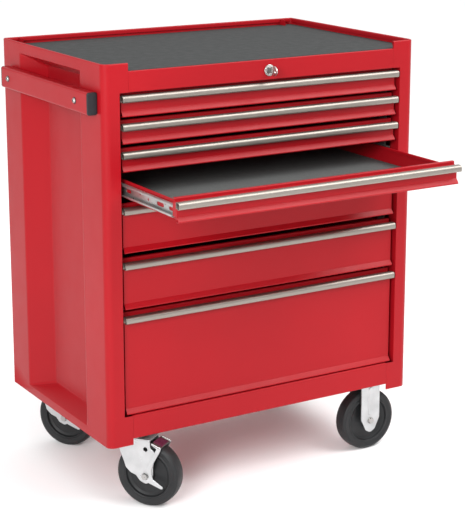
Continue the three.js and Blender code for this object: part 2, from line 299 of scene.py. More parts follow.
class Surface:
    """A node material on the row frame's own coordinates, in metres."""

    def __init__(self, name, colour, **sockets):
        self.material = bpy.data.materials.new(name)
        self.material.use_nodes = True
        self.tree = self.material.node_tree
        self.shader = self.tree.nodes["Principled BSDF"]
        self.shader.inputs["Base Color"].default_value = (*colour, 1)
        for socket, value in sockets.items():
            self.shader.inputs[socket.replace("_", " ")].default_value = value
        self.place = self.tree.nodes.new("ShaderNodeTexCoord").outputs["Object"]
        self.height = None

    def feed(self, socket, value):
        if isinstance(value, bpy.types.NodeSocket):
            self.tree.links.new(value, socket)
        else:
            socket.default_value = value

    def noise(self, scale, detail, stretch=(1, 1, 1)):
        mapping = self.tree.nodes.new("ShaderNodeMapping")
        mapping.inputs["Scale"].default_value = stretch
        self.tree.links.new(self.place, mapping.inputs["Vector"])
        texture = self.tree.nodes.new("ShaderNodeTexNoise")
        texture.inputs["Scale"].default_value = scale
        texture.inputs["Detail"].default_value = detail
        self.tree.links.new(mapping.outputs["Vector"], texture.inputs["Vector"])
        return texture.outputs["Fac"]

    def cells(self, scale):
        texture = self.tree.nodes.new("ShaderNodeTexVoronoi")
        texture.inputs["Scale"].default_value = scale
        self.tree.links.new(self.place, texture.inputs["Vector"])
        return texture.outputs["Distance"]

    def ribs(self, scale, direction):
        texture = self.tree.nodes.new("ShaderNodeTexWave")
        texture.bands_direction = direction
        texture.inputs["Scale"].default_value = scale
        self.tree.links.new(self.place, texture.inputs["Vector"])
        return texture.outputs["Fac"]

    def between(self, value, low, high, to_low, to_high):
        reach = self.tree.nodes.new("ShaderNodeMapRange")
        for socket, given in zip(reach.inputs, (value, low, high, to_low, to_high)):
            self.feed(socket, given)
        return reach.outputs["Result"]

    def colours(self, value, stops):
        ramp = self.tree.nodes.new("ShaderNodeValToRGB")
        for i, (at, colour) in enumerate(stops):
            if i < 2:
                stop = ramp.color_ramp.elements[i]
                stop.position = at
            else:
                stop = ramp.color_ramp.elements.new(at)
            stop.color = (*colour, 1)
        self.feed(ramp.inputs["Fac"], value)
        self.feed(self.shader.inputs["Base Color"], ramp.outputs["Color"])

    def rough(self, value, low, high):
        self.feed(self.shader.inputs["Roughness"], self.between(value, 0.3, 0.7, low, high))

    def bump(self, value, depth, strength=1.0):
        """Adds a relief of that depth in millimetres."""
        node = self.tree.nodes.new("ShaderNodeBump")
        node.inputs["Strength"].default_value = strength
        node.inputs["Distance"].default_value = depth * MM
        self.feed(node.inputs["Height"], value)
        if self.height:
            self.feed(node.inputs["Normal"], self.height)
        self.height = node.outputs["Normal"]
        self.feed(self.shader.inputs["Normal"], self.height)


def shade(colour, share):
    return tuple(min(1.0, c * share) for c in colour)


def powder_coat(name, colour):
    """Gloss powder coat: a little orange peel, slow drifts of tone, and faint haze where hands rub."""
    paint = Surface(name, colour, Metallic=0.0, Specular_IOR_Level=0.17)
    drift = paint.noise(3.5, 4)
    paint.colours(drift, [(0.3, shade(colour, 0.93)), (0.7, shade(colour, 1.05))])
    paint.rough(paint.noise(24, 5), 0.33, 0.39)
    paint.bump(paint.noise(420, 2), 0.05, 0.35)
    return paint.material


def ribbed_mat(name, colour):
    """Foam liner: fine ribs along its width, with a pebbled skin."""
    liner = Surface(name, colour, Specular_IOR_Level=0.35)
    grain = liner.noise(900, 3)
    liner.colours(grain, [(0.3, shade(colour, 0.75)), (0.7, shade(colour, 1.25))])
    liner.rough(liner.noise(60, 4), 0.72, 0.9)
    liner.bump(liner.ribs(90, "Y"), 0.35, 0.6)
    liner.bump(grain, 0.12, 0.5)
    return liner.material


def drawn_metal(name, colour, rough_low, rough_high):
    """Drawn metal with fine lines along its width."""
    metal = Surface(name, colour, Metallic=1.0)
    lines = metal.noise(1500, 4, stretch=(0.02, 1, 1))
    metal.colours(lines, [(0.3, shade(colour, 0.86)), (0.7, shade(colour, 1.08))])
    metal.rough(lines, rough_low, rough_high)
    metal.bump(lines, 0.02, 0.4)
    return metal.material


def zinc_plate(name, colour):
    """Zinc plate: small spangle, clouded patches and a few dull spots."""
    metal = Surface(name, colour, Metallic=0.85)
    spangle = metal.cells(140)
    cloud = metal.noise(30, 5)
    metal.colours(cloud, [(0.3, shade(colour, 0.84)), (0.72, shade(colour, 1.06))])
    metal.rough(metal.noise(55, 5), 0.26, 0.44)
    metal.bump(spangle, 0.03, 0.25)
    return metal.material


def nickel(name, colour):
    """Nickel plate under a thin haze."""
    metal = Surface(name, colour, Metallic=1.0)
    haze = metal.noise(80, 5)
    metal.colours(haze, [(0.35, shade(colour, 0.93)), (0.7, colour)])
    metal.rough(haze, 0.24, 0.38)
    metal.bump(metal.noise(600, 3), 0.01, 0.3)
    return metal.material


def moulded(name, colour, rough_low, rough_high, grain):
    """Moulded rubber or plastic with a fine spark-eroded skin."""
    skin = Surface(name, colour, Specular_IOR_Level=0.35)
    cloud = skin.noise(28, 5)
    skin.colours(cloud, [(0.3, shade(colour, 0.82)), (0.7, shade(colour, 1.2))])
    skin.rough(skin.noise(70, 4), rough_low, rough_high)
    skin.bump(skin.noise(grain, 2), 0.06, 0.5)
    return skin.material


RED = powder_coat("red_powder_coat", (0.31, 0.0045, 0.009))
LINER = ribbed_mat("ribbed_liner", (0.027, 0.029, 0.029))
# the drawers' liner is the top liner's foam made over three times lighter: painted light standing in for
# the light that the shade inside the drawers keeps out
DRAWER_LINER_PAINTED_LIGHT = ribbed_mat("drawer_liner", (0.09, 0.093, 0.091))
TRIM = drawn_metal("drawn_aluminium", (0.31, 0.28, 0.25), 0.4, 0.55)
SLIDE_STEEL = zinc_plate("slide_zinc", (0.46, 0.46, 0.45))
CASTOR_STEEL = zinc_plate("castor_zinc", (0.52, 0.53, 0.535))
TYRE = moulded("castor_rubber", (0.010, 0.0105, 0.0115), 0.42, 0.6, 1100)
BLACK = moulded("black_plastic", (0.012, 0.012, 0.015), 0.35, 0.5, 1400)
PEDAL_RED = moulded("pedal_plastic", (0.10, 0.012, 0.035), 0.4, 0.55, 1300)
RACE_STEEL = zinc_plate("race_steel", (0.22, 0.2, 0.18))
NICKEL = nickel("bright_nickel", (0.56, 0.55, 0.53))
BARREL_STEEL = nickel("dark_barrel", (0.16, 0.155, 0.15))
BOLT_STEEL = nickel("dull_bolt_steel", (0.40, 0.395, 0.385))

# ---- side panels ----

HEM_R = 2.5
SIDE_TOP = HEIGHT - HEM_R
CORNER_R = 14.0
REAR_R = 6.0
FOLD_R = 1.5
RETURN_DEEP = 26.0
# the pressed field's mouth and bed: front, rear, low and high edges
MOUTH = (93.0, 358.0, 17.0, 693.0)
BED = (150.0, 298.0, 35.0, 675.0)
RECESS_DEEP = 32.0
SILL_LEVEL = 56.7
RAIL_LEVEL = 661.3
# the share of each sloping wall that its eased edges take
EASE = 0.055
EASE_STEPS = 5
ACROSS = [i / 8 for i in range(9)]
BETWEEN = [SILL_LEVEL + (RAIL_LEVEL - SILL_LEVEL) * i / 12 for i in range(1, 12)]
HEIGHTS = [0, SILL_LEVEL, *BETWEEN, RAIL_LEVEL, SIDE_TOP]
LEVELS = [z / SIDE_TOP for z in HEIGHTS]


def side_ring(y0, y1, z0, z1, deep, radius):
    """A ring that deep in the side: up the front, along the top, down the rear and along the foot."""
    r = radius
    ring = [Vector((deep, y0, z0 + r + (z1 - z0 - 2 * r) * t)) for t in LEVELS]
    ring += [Vector((deep, p.x, p.y)) for p in arc((y0 + r, z1 - r), r, 180, 90, 4)[1:-1]]
    ring += [Vector((deep, y0 + r + (y1 - y0 - 2 * r) * t, z1)) for t in ACROSS]
    ring += [Vector((deep, p.x, p.y)) for p in arc((y1 - r, z1 - r), r, 90, 0, 4)[1:-1]]
    ring += [Vector((deep, y1, z1 - r - (z1 - z0 - 2 * r) * t)) for t in LEVELS]
    ring += [Vector((deep, p.x, p.y)) for p in arc((y1 - r, z0 + r), r, 0, -90, 4)[1:-1]]
    ring += [Vector((deep, y1 - r - (y1 - y0 - 2 * r) * t, z0)) for t in ACROSS]
    ring += [Vector((deep, p.x, p.y)) for p in arc((y0 + r, z0 + r), r, 270, 180, 4)[1:-1]]
    return ring


def recess_ring(share, deep, radius):
    """A ring of the pressed field, that share of the way from its mouth to its bed."""
    edges = [m + (b - m) * share for m, b in zip(MOUTH, BED)]
    return side_ring(*edges, deep, radius)


def pressed_field():
    """The flat of the side, with the field pressed into it and eased at its mouth and bed."""
    turn = [i / EASE_STEPS for i in range(EASE_STEPS + 1)]
    profile = [(-EASE * (1 - t) ** 2 + EASE * t * t, RECESS_DEEP * EASE * t * t) for t in turn]
    profile += [(0.5, RECESS_DEEP * 0.5)]
    profile += [(1 - u, RECESS_DEEP - x) for u, x in reversed(profile[:-1])]
    rings = [side_ring(CORNER_R, DEPTH - REAR_R, 0, SIDE_TOP, 0, 0)]
    for share, deep in profile:
        rings.append(recess_ring(share, deep, 3 + 4 * max(0, share)))
    rings.append(recess_ring(1.35, RECESS_DEEP, 6))
    field = loft(rings, caps=False)
    last = (len(rings) - 1) * len(rings[0])
    field.faces.append(tuple(range(last, last + len(rings[0]))))
    return field


def upright(outline, low, high):
    """An open wall over a plan outline, between two heights."""
    zs = [z for z in HEIGHTS if low - 0.01 <= z <= high + 0.01]
    return loft([[Vector((p[0], p[1], z)) for p in outline] for z in zs], looped=False, caps=False)


def hem(run):
    """The top edge, rolled inwards along a plan outline."""
    angles = [math.pi * i / 7 for i in range(1, 8)]
    over = [(SIDE_TOP + HEM_R * math.sin(a), HEM_R - HEM_R * math.cos(a)) for a in angles]
    rings = []
    for z, inset in [(SIDE_TOP, 0), *over, (SIDE_TOP - 6, 2 * HEM_R)]:
        ring = []
        for i, p in enumerate(run):
            ahead = run[min(i + 1, len(run) - 1)] - p
            behind = p - run[max(i - 1, 0)]
            along = (ahead.normalized() + behind.normalized()).normalized()
            ring.append(Vector((p.x + along.y * inset, p.y - along.x * inset, z)))
        rings.append(ring)
    return loft(rings, looped=False, caps=False)


def side_skin():
    """The outside of a side panel, as one open sheet whose outer face is what shows."""
    front_arc = arc((CORNER_R, CORNER_R), CORNER_R, 180, 270, 10)
    front_bend = [*front_arc, Vector((22, 0)), Vector((30, 0))]
    ear = [Vector((30, 0)), Vector((40, 0)), Vector((EAR, 0))]
    front_return = filleted([(31.4, 0), (POST, 0), (POST, RETURN_DEEP)], FOLD_R, 4)
    rear_arc = arc((REAR_R, DEPTH - REAR_R), REAR_R, 180, 90, 5)
    rear_bend = [*rear_arc, Vector((20, DEPTH))]
    rear_return = filleted([(31, DEPTH), (POST, DEPTH), (POST, DEPTH - RETURN_DEEP)], FOLD_R, 4)
    walls = [
        upright(front_bend, 0, SIDE_TOP),
        upright(ear, 0, SILL_LEVEL),
        upright([Vector((30, 0)), *front_return], SILL_LEVEL, RAIL_LEVEL),
        upright(ear, RAIL_LEVEL, SIDE_TOP),
        upright(rear_bend, 0, SIDE_TOP),
        upright([Vector((20, DEPTH)), *rear_return], 0, SIDE_TOP),
    ]
    flat_length = DEPTH - REAR_R - CORNER_R
    flat = [Vector((0, CORNER_R + flat_length * t)) for t in ACROSS]
    rear_end = [Vector((27, DEPTH)), Vector((POST - 0.4, DEPTH))]
    run = ear[::-1][:-1] + front_bend[::-1][:-1] + flat + rear_bend[1:] + rear_end
    return together([pressed_field(), *walls, hem(run)])


piece("left_side", "cabinet", RED, side_skin(), ["side_left"], thicken=SHEET)
piece("right_side", "cabinet", RED, side_skin().mirrored(), ["side_right"], thicken=SHEET)

# ---- back, top tray, mat and base ----

INNER_X = EAR + 0.3
tray_low, _ = span("top_tray")
mat_low, mat_high = span("top_mat")
base_low, base_high = span("base_pan")
RAIL_TOP = 699.5
TRAY_Z = 696.4


def folded(path, radius, axis, start, end, thickness=SHEET):
    """Folded sheet: a path in section, with rounded folds, run along an axis."""
    return extruded(ribbon(filleted(path, radius), thickness), axis, start, end)


back_low, back_high = span("back_panel")
back_path = [
    (DEPTH - 12, 10 + HALF_SHEET),
    (DEPTH - HALF_SHEET, 10 + HALF_SHEET),
    (DEPTH - HALF_SHEET, HEIGHT - HALF_SHEET),
    (DEPTH - 5.4, HEIGHT - HALF_SHEET),
    (DEPTH - 5.4, HEIGHT - 8),
]
back_form = folded(back_path, 1.6, "x", back_low.x, back_high.x)
piece("back_sheet", "cabinet", RED, back_form, ["back_panel"], bevel=0.25)

INSET = 2.1
left, right = INSET, WIDTH - INSET
front, rear = INSET, DEPTH - INSET
rim_path = [
    (INNER_X, front),
    (left, front),
    (left, rear),
    (right, rear),
    (right, front),
    (WIDTH - INNER_X, front),
]
rim_outline = ribbon(filleted(rim_path, CORNER_R - INSET, 6), 1.0)
rim = extruded(rim_outline, "z", TRAY_Z + 0.02, HEIGHT - 2.2)
tray_outline = rounded_box((left, front), (right, rear), CORNER_R - INSET)
floor_sheet = extruded(tray_outline, "z", TRAY_Z, TRAY_Z + SHEET)
rail_path = [
    (16, tray_low.z + HALF_SHEET),
    (HALF_SHEET, tray_low.z + HALF_SHEET),
    (HALF_SHEET, RAIL_TOP - HALF_SHEET),
    (3.2, RAIL_TOP - HALF_SHEET),
    (3.2, RAIL_TOP - 2),
]
rail = folded(rail_path, 1.3, "x", INNER_X, WIDTH - INNER_X)
tray = together([rim, floor_sheet, rail])
piece("tray_and_rail", "cabinet", RED, tray, ["top_tray"], bevel=0.25)

mat_outline = rounded_box((mat_low.x, mat_low.y), (mat_high.x, mat_high.y), 10.5, 6)
mat = extruded(mat_outline, "z", mat_low.z, mat_high.z)
piece("top_liner", "cabinet", LINER, mat, ["top_mat"], bevel=0.7)

SILL_LOW, SILL_HIGH = 11.5, 57.0
PAN_Z = 18.0
sill_path = [
    (16, SILL_HIGH - HALF_SHEET),
    (HALF_SHEET, SILL_HIGH - HALF_SHEET),
    (HALF_SHEET, SILL_LOW + HALF_SHEET),
    (12, SILL_LOW + HALF_SHEET),
]
sill = folded(sill_path, 1.6, "x", INNER_X, WIDTH - INNER_X)
pan_outline = rounded_box((base_low.x, 3.2), (base_high.x, base_high.y), 3)
pan = extruded(pan_outline, "z", PAN_Z, PAN_Z + SHEET)
piece("base_and_sill", "cabinet", RED, sill + pan, ["base_pan"], bevel=0.25)

for node in ("slide_rack_left", "slide_rack_right"):
    frame["nodes"][node].data.materials[0] = SLIDE_STEEL

# ---- drawers ----

# the drawer box's side and rear
BOX_X = 47.0
BOX_REAR = 399.6
# from front to back: the lip's edge, the face, and the crest behind the pull
LIP_Y = 1.2
FACE_Y = 9.0
CREST_Y = 17.5
# how high the lip's slope is, and how far the crest's ledge lies below the pull's top
SLOPE_UP = 10.4
LEDGE_DOWN = 2.2


def drawer_shell(low, high, top, lip):
    """Front, folded ends, tray with rolled walls, and back of a drawer, in the closed position."""
    crest = high.z - HALF_SHEET
    ledge = top - LEDGE_DOWN
    face = FACE_Y + HALF_SHEET
    front_path = [
        (CREST_Y + 6, crest),
        (CREST_Y, crest),
        (CREST_Y, ledge),
        (face, ledge),
        (face, lip + SLOPE_UP),
        (LIP_Y + 0.9, lip + HALF_SHEET),
        (LIP_Y + 10, lip + HALF_SHEET),
    ]
    front_sheet = folded(front_path, 1.1, "x", low.x, high.x)
    edge = low.x + HALF_SHEET
    end_path = [(edge, FACE_Y + 14), (edge, FACE_Y + 0.8), (low.x + 6, FACE_Y + 0.8)]
    end = folded(end_path, 1.2, "z", lip + SLOPE_UP - 1, ledge - HALF_SHEET)
    wall_top = top - 2
    reach = WIDTH - BOX_X
    section = [
        (BOX_X + 3.4, wall_top - 5),
        (BOX_X + 3.4, wall_top - 0.5),
        (BOX_X + 0.5, wall_top - 0.5),
        (BOX_X + 0.5, lip + 1.6),
        (reach - 0.5, lip + 1.6),
        (reach - 0.5, wall_top - 0.5),
        (reach - 3.4, wall_top - 0.5),
        (reach - 3.4, wall_top - 5),
    ]
    tray = folded(section, 1.4, "y", FACE_Y + 1.3, BOX_REAR, 1.0)
    rolled, rear = BOX_REAR - 4.6, BOX_REAR - 0.4
    back_path = [(rolled, wall_top - 6), (rolled, wall_top - 0.9), (rear, wall_top - 0.9), (rear, lip + 2)]
    back = folded(back_path, 1.4, "x", BOX_X + 0.6, WIDTH - BOX_X - 0.6, 1.0)
    return together([front_sheet, end, end.mirrored(), tray, back])


def drawer_liner(lip):
    """The mat on a drawer's floor."""
    outline = rounded_box((BOX_X + 1.6, FACE_Y + 2.6), (WIDTH - BOX_X - 1.6, BOX_REAR - 1.8), 4)
    return extruded(outline, "z", lip + 2.3, lip + 4.5)


def pull_trim(low, high, top):
    """Drawn pull: a web on the drawer's front edge, rolled over and under at the fingertips."""
    web = [(8.05, top - 12.2), (8.05, top - 0.65)]
    nose = [(-3.15, top - 0.65), (-3.15, top - 12.35), (2.4, top - 12.35), (2.4, top - 9.6)]
    section = ribbon(filleted(web + nose, [0, 1.2, 5.4, 4.6, 1.2, 0], 7), 1.25)
    return extruded(section, "x", low.x, high.x)


RACE_X, WEB_X = 39.2, 46.2
WEB_HALF, RACE_LIP = 11.4, 7.6


def slide_member(zc, low_y, high_y):
    """The drawer's half of a ball slide: a C-section whose edges are the races."""
    section = [
        (RACE_X, zc + RACE_LIP),
        (RACE_X, zc + WEB_HALF),
        (WEB_X, zc + WEB_HALF),
        (WEB_X, zc - WEB_HALF),
        (RACE_X, zc - WEB_HALF),
        (RACE_X, zc - RACE_LIP),
    ]
    return folded(section, 2.0, "y", low_y, high_y, 1.0)


def pierce(target, form):
    """Cuts a form's holes through a piece and keeps the result as its mesh."""
    work = filled(form)
    bmesh.ops.recalc_face_normals(work, faces=work.faces)
    cutter = linked(target.name + "_cutter", work)
    holes = target.modifiers.new("holes", "BOOLEAN")
    holes.operation = "DIFFERENCE"
    holes.solver = "EXACT"
    holes.object = cutter
    while target.modifiers[0] != holes:
        target.modifiers.move(target.modifiers.find("holes"), 0)
    others = [m for m in target.modifiers if m != holes]
    shown = [m.show_viewport for m in others]
    for m in others:
        m.show_viewport = False
    bpy.context.view_layer.update()
    graph = bpy.context.evaluated_depsgraph_get()
    cut = bpy.data.meshes.new_from_object(target.evaluated_get(graph))
    for m, was in zip(others, shown):
        m.show_viewport = was
    target.modifiers.remove(holes)
    target.data = cut
    cut.shade_smooth()
    cut.set_sharp_from_angle(angle=FLAT_ANGLE)
    bpy.data.objects.remove(cutter)


# distance from the slide's front end, radius, height off its middle, and half length
SLIDE_HOLES = (
    (14, 3.2, 0, 4),
    (34, 2.4, 5, 0),
    (52, 3.6, 0, 9),
    (96, 2.6, 0, 0),
    (170, 3.2, 0, 6),
    (250, 2.6, 0, 0),
    (330, 3.2, 0, 6),
)


def slide_holes(zc, low_y):
    """The screw holes and slots along a slide's web."""
    holes = []
    for along, radius, up, half in SLIDE_HOLES:
        y, z = low_y + along, zc + up
        outline = arc((y + half, z), radius, -90, 90, 8) + arc((y - half, z), radius, 90, 270, 8)
        holes.append(extruded(outline, "x", WEB_X - 2, WEB_X + 2))
    return together(holes)


for number in range(1, 8):
    body = f"drawer_{number}"
    low, high = span(f"{body}_box")
    pull_low, pull_high = span(f"{body}_pull")
    slide_low, slide_high = span(f"{body}_slide_left")
    opened = low.y - LIP_Y
    top = pull_high.z
    lip = low.z
    shell = drawer_shell(low, high, top, lip).shifted(0, opened, 0)
    piece(f"{body}_shell", body, RED, shell, [f"{body}_box"], bevel=0.22)
    liner = drawer_liner(lip).shifted(0, opened, 0)
    piece(f"{body}_liner", body, DRAWER_LINER_PAINTED_LIGHT, liner, bevel=0.5)
    trim = pull_trim(pull_low, pull_high, top).shifted(0, opened, 0)
    piece(f"{body}_trim", body, TRIM, trim, [f"{body}_pull"], bevel=0.2)
    zc = (slide_low.z + slide_high.z) / 2
    member = slide_member(zc, slide_low.y, slide_high.y)
    holes = slide_holes(zc, slide_low.y)
    sides = (("left", member, holes), ("right", member.mirrored(), holes.mirrored()))
    for side, form, cutter in sides:
        node = f"{body}_slide_{side}"
        runner = piece(f"{body}_runner_{side}", body, SLIDE_STEEL, form, [node], bevel=0.15)
        pierce(runner, cutter)

# ---- side handle ----

bar_low, bar_high = span("handle_bar")
BAR_R = 4.5
outside = rounded_box((bar_low.x, bar_low.z), (bar_high.x, bar_high.z), BAR_R)
inside = rounded_box((bar_low.x + 2, bar_low.z + 2), (bar_high.x - 2, bar_high.z - 2), BAR_R - 2)
tube = pierced(outside, inside, "y", bar_low.y, bar_high.y)
piece("side_bar", "cabinet", RED, tube, ["handle_bar"], bevel=0.2)


def end_cap(near, far):
    """A crowned plastic cap, from the tube's end out to its face."""
    out = 1 if far > near else -1
    thick = abs(far - near)
    steps = ((0, 0), (0.55, 0), (0.8, 0.35), (0.93, 0.9), (1.0, 2.0))
    rings = []
    for share, inset in steps:
        low = (bar_low.x + inset, bar_low.z + inset)
        high = (bar_high.x - inset, bar_high.z - inset)
        rings.append(lift(rounded_box(low, high, max(0.8, BAR_R - inset)), "y", near + out * thick * share))
    plug = rounded_box((bar_low.x + 2.6, bar_low.z + 2.6), (bar_high.x - 2.6, bar_high.z - 2.6), 2)
    return loft(rings) + extruded(plug, "y", near - out * 11, near + out)


for place, near_index in (("front", 0), ("rear", 1)):
    node = f"handle_cap_{place}"
    cap_low, cap_high = span(node)
    end = (bar_low.y - 0.15, bar_high.y + 0.15)[near_index]
    face = (cap_low.y, cap_high.y)[near_index]
    piece(f"bar_cap_{place}", "cabinet", BLACK, end_cap(end, face), [node])


def bar_bolt():
    """A domed socket screw through the tube and the side, with its nut: the tube's face is at x = 0."""
    head = [(1.9, -1), (2.1, -3.2), (2.9, -3.3), (3.8, -2.6), (4.5, -1.4), (4.7, -0.3), (4.7, 0), (1.9, 0)]
    shank = [(0.2, 0), (3, 0), (3, 27), (0.2, 27)]
    socket_floor = [(0.05, -1.1), (2.0, -1.1), (2.0, -0.6), (0.05, -0.6)]
    tube_through = bar_high.x - bar_low.x
    nut = hexagon(10, "x", tube_through + 2.4, tube_through + 6.4)
    screw = turned(head, "x", 32) + turned(shank, "x", 20)
    return together([screw, nut, turned(socket_floor, "x", 20)])


def bar_washer():
    """The thin black ring that shows round each screw's head."""
    return turned([(4.8, -0.5), (5.9, -0.5), (6.4, -0.15), (6.4, 0.1), (4.8, 0.1)], "x", 32)


for place in ("front", "rear"):
    node = f"handle_bolt_{place}"
    bolt_low, bolt_high = span(node)
    at = (bolt_low + bolt_high) / 2
    bolt = bar_bolt().shifted(bar_low.x - 0.05, at.y, at.z)
    piece(f"bar_bolt_{place}", "cabinet", BOLT_STEEL, bolt, [node])
    washer = bar_washer().shifted(bar_low.x, at.y, at.z)
    piece(f"bar_washer_{place}", "cabinet", BLACK, washer)

# ---- lock and key ----

housing_low, housing_high = span("lock_housing")
lock_at = Vector(((housing_low.x + housing_high.x) / 2, 0, (housing_low.z + housing_high.z) / 2))
bezel_path = [(6.3, -1.7), (10.6, -2.4), (11.3, -0.3), (9, -0.2), (9, 20), (6.3, 20)]
bezel = turned(filleted(bezel_path, 0.8, 4, closed=True), "y", 48).shifted(*lock_at)
piece("lock_bezel", "cabinet", NICKEL, bezel, ["lock_housing"])

barrel_face = [(0.02, -2.6), (4.9, -2.6), (5.9, -1.9), (5.9, 22.6), (0.02, 22.6)]
barrel = turned(barrel_face, "y", 40)
cam = extruded(rounded_box((-4, -4), (14, 4), 3), "y", 20.4, 22.6)
plug = (barrel + cam).shifted(*lock_at)
piece("lock_barrel", "lock_plug", BARREL_STEEL, plug, ["lock_cylinder"], bevel=0.2)


def key_form():
    """A flat key whose bow stands out from the lock: outline in (y, z), 2 mm thick."""
    tip = -2.2
    bow_y, bow_r = -18.0, 9.6
    turns = 36
    outer, inner = [], []
    for i in range(turns):
        angle = 2 * math.pi * i / turns
        lobed = bow_r * (1 - 0.07 * (1 - math.cos(3 * angle)) / 2)
        outer.append(Vector((bow_y - lobed * math.cos(angle), lobed * math.sin(angle))))
        inner.append(Vector((bow_y - 4.4 - 2.9 * math.cos(angle), 2.9 * math.sin(angle))))
    bow = pierced(outer, inner, "x", -1, 1)
    blade_path = [(-11, -3.9), (tip, -3.2), (tip, 3.2), (-11, 3.9)]
    blade = extruded(filleted(blade_path, 0.6, 3, closed=True), "x", -0.95, 0.95)
    collar = extruded(rounded_box((-11.5, -4.6), (-8.6, 4.6), 1), "x", -1.25, 1.25)
    return together([bow, blade, collar])


piece("key", "lock_plug", NICKEL, key_form().shifted(*lock_at), ["lock_key"], bevel=0.25)

# ---- castors, in their own frame: wheel centre at (0, 0, 0), axle along Y, swivel towards -X ----

joints = {joint["name"]: joint for joint in frame["joints"]}
OTHER_SIDE = Matrix.Scale(-1, 4, (0, 1, 0))
LEG_IN, LEG_T = 18.5, 3.0
LEG_OUT = LEG_IN + LEG_T
SUNK = 0.4
PLATE_T = 3.2
AXLE_HEX = 11.5
wheel_low, wheel_high = span("castor_front_right_wheel")
WHEEL_R = (wheel_high.z - wheel_low.z) / 2


def axle_frame(roll):
    """The castor's own frame, from the joint that its wheel rolls on."""
    joint = joints[roll]
    along = Vector(joint["axis"]).normalized()
    up = Vector((0, 0, 1))
    turn = Matrix((along.cross(up), along, up)).transposed().to_4x4()
    return Matrix.Translation(local(joint["pos_m"])) @ turn


def wheel_form():
    """Tyre with a crowned tread and round shoulders, rim bead, dished web and hub."""
    half = [
        (5.8, 17),
        (12.6, 17),
        (14.2, 14.5),
        (15.2, 9.6),
        (24, 8.4),
        (38, 8.2),
        (43.2, 10.2),
        (44.6, 14.6),
        (46.6, 15.2),
        (47.6, 13.9),
        (50, 14.2),
        (57, 16),
        (WHEEL_R - 1.4, 12.6),
        (WHEEL_R - 0.3, 6.5),
        (WHEEL_R, 0),
    ]
    far = [(r, -y) for r, y in half[-2::-1]]
    profile = filleted(half + far, 2.2, 3, closed=True)
    return turned(profile, "y", 96)


def hub_cap_form():
    """Thread guard: a thin dished washer each side of the hub."""
    ring = filleted([(6.2, 17.1), (11.8, 17.1), (11.4, 18.0), (6.2, 18.2)], 0.3, 2, closed=True)
    near = turned(ring, "y", 40)
    return near + near.placed(OTHER_SIDE)


def axle_form(outer):
    """The axle bolt with its head, nut and washers, for legs whose outer faces are that far out."""
    end = outer + 5
    shank = [
        (0.02, -outer - 1),
        (5.1, -outer - 1),
        (5.1, outer + 1),
        (3.4, outer + 1.4),
        (3.4, end + 0.4),
        (2.8, end + 1),
        (0.02, end + 1),
    ]
    bolt = turned(shank, "y", 28)
    head = hexagon(AXLE_HEX, "y", -outer - 0.4, -outer - 4.6)
    nut = hexagon(AXLE_HEX, "y", outer + 0.4, end)
    near, far = outer + 0.05, outer + 0.55
    washer = turned([(5.2, near), (6.9, near), (6.9, far), (5.2, far)], "y", 32)
    return together([bolt, head, nut, washer, washer.placed(OTHER_SIDE)])


def plate_form(top):
    """Mounting plate with round corners and its four bolts, heads below."""
    plate = extruded(rounded_box((-48, -36), (48, 36), 7), "z", top - PLATE_T, top)
    parts = [plate]
    for x in (-38, 38):
        for y in (-27, 27):
            parts.append(hexagon(10.5, "z", top - PLATE_T - 0.1, top - PLATE_T - 4.4).shifted(x, y, 0))
            washer = turned([(3.5, 0), (7.2, 0), (7.2, -0.9), (3.5, -0.9)], "z", 28)
            parts.append(washer.shifted(x, y, top - PLATE_T))
    return together(parts)


def legs(outline, rounding):
    """A leg each side, with the axle hole left to the bolt heads that cover it."""
    shape = filleted(outline, rounding, 5, closed=True)
    return extruded(shape, "y", LEG_IN, LEG_OUT) + extruded(shape, "y", -LEG_OUT, -LEG_IN)


def leg_ribs(path, width, proud):
    """A pressed rib along a path on each leg, that proud of it."""
    parts = []
    for side in (1, -1):
        rings = []
        for share, inset in ((0, 0), (0.6, 0.9), (1.0, 2.4)):
            across = width - 2 * inset
            outline = filleted(ribbon(path, across), across * 0.45, 4, closed=True)
            out = LEG_OUT - SUNK + (proud + SUNK) * share
            rings.append(lift(outline, "y", side * out))
        parts.append(loft(rings))
    return together(parts)


def rolling_pieces(castor, body, at):
    """What turns on the axle: the wheel and its thread guards."""
    piece(f"{castor}_tyre", body, TYRE, wheel_form().placed(at), [f"{castor}_wheel"])
    piece(f"{castor}_guards", body, CASTOR_STEEL, hub_cap_form().placed(at))


for place in ("front_right", "back_right"):
    at = axle_frame(f"{place}_roll")
    castor, node = f"castor_{place}", f"castor_{place}_bracket"
    top = span(node)[1].z - at.translation.z
    outline = [(-22.5, top - 2), (-22.5, 4), (-11, -20), (0, -26), (11, -20), (22.5, 4), (22.5, top - 2)]
    rib = [Vector((0, 12)), Vector((0, top - 16))]
    bridge = extruded(rounded_box((-22.5, -LEG_OUT), (22.5, LEG_OUT), 2), "z", top - 6, top - 3)
    bracket = together([plate_form(top), legs(outline, 9), bridge, leg_ribs(rib, 13, 1.6)])
    piece(f"{castor}_housing", "cabinet", CASTOR_STEEL, bracket.placed(at), [node], bevel=0.5)
    rolling_pieces(castor, f"wheel_{place}", at)
    bolt = axle_form(LEG_OUT).placed(at)
    piece(f"{castor}_bolt", "cabinet", BOLT_STEEL, bolt, [f"{castor}_axle"])

ARM_IN, ARM_OUT = LEG_OUT + 0.4, LEG_OUT + 2.4
TREAD_HALF = 14.0


def fork_form():
    """Fork: waisted legs that spread over the wheel, and a crown across its top."""
    rear_edge = [(-47, 72), (-54, 46), (-45, 24), (-41, 12), (-31, 3), (-20, -1)]
    foot = [(-12, -11), (0, -16), (12.5, -9)]
    front_edge = [(15, 6), (15, 19), (20, 42), (18, 51), (9.5, 57), (9.5, 72)]
    crown = extruded(rounded_box((-47, -LEG_OUT), (9.5, LEG_OUT), 3), "z", 69.5, 72.5)
    crease = leg_ribs([Vector((-34, 42)), Vector((-21, 36)), Vector((-12, 25))], 9, 2.4)
    return together([legs(rear_edge + foot + front_edge, 7), crown, crease])


